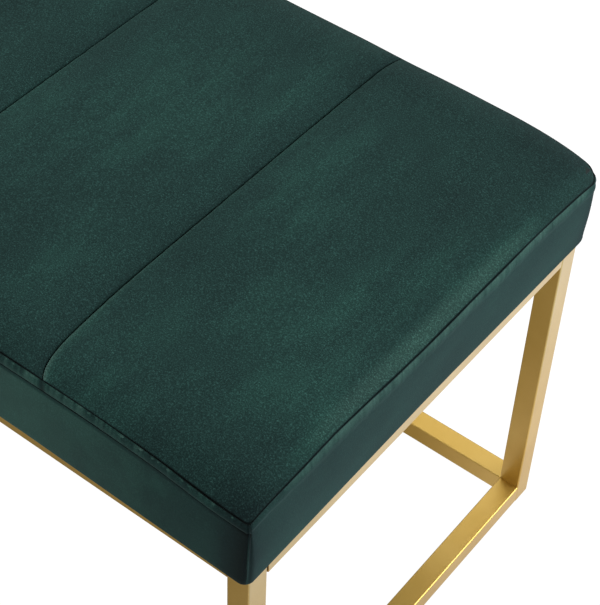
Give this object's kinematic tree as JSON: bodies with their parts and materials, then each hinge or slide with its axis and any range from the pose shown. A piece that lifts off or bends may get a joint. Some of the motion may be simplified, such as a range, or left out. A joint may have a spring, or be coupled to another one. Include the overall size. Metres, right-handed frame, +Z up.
{
  "type": "upholstered bench",
  "caption": "Backless bench with a padded velvet seat of cross-sewn panels and boxed sides, carried on an open box frame of square gold-finished metal tube.",
  "frame": {"origin": "on the floor under the middle of the bench", "axes": "+X along the seat to the right-hand end, -Y to the front, +Z up"},
  "size_m": [1.088, 0.484, 0.4685],
  "materials": {
    "frame_gold": "satin",
    "glide_nylon": "satin",
    "zinc_steel": "satin",
    "plywood": "matte",
    "foam": "matte",
    "dust_cloth": "matte",
    "velvet": "matte"
  },
  "bodies": {
    "root": {"bottom_rail_left": "frame_gold", "bottom_rail_rear": "frame_gold", "bottom_rail_right": "frame_gold", "boxing_front": "velvet", "boxing_left": "velvet", "boxing_rear": "velvet", "boxing_right": "velvet", "dust_cover": "dust_cloth", "flanged_nuts": "zinc_steel", "foam_pad": "foam", "glide_front_left": "glide_nylon", "glide_front_right": "glide_nylon", "glide_rear_left": "glide_nylon", "glide_rear_right": "glide_nylon", "leg_cap_front_left": "frame_gold", "leg_cap_front_right": "frame_gold", "leg_cap_rear_left": "frame_gold", "leg_cap_rear_right": "frame_gold", "leg_front_left": "frame_gold", "leg_front_right": "frame_gold", "leg_rear_left": "frame_gold", "leg_rear_right": "frame_gold", "rail_screws": "zinc_steel", "rail_spigots_left": "frame_gold", "rail_spigots_right": "frame_gold", "seat_board": "plywood", "seat_bolts": "zinc_steel", "seat_tab_front_1": "frame_gold", "seat_tab_front_2": "frame_gold", "seat_tab_rear_1": "frame_gold", "seat_tab_rear_2": "frame_gold", "seat_washers": "zinc_steel", "top_panel_1": "velvet", "top_panel_2": "velvet", "top_panel_3": "velvet", "top_panel_4": "velvet", "top_panel_5": "velvet", "top_rail_front": "frame_gold", "top_rail_left": "frame_gold", "top_rail_rear": "frame_gold", "top_rail_right": "frame_gold", "weld_beads": "frame_gold"}
  },
  "joints": []
}
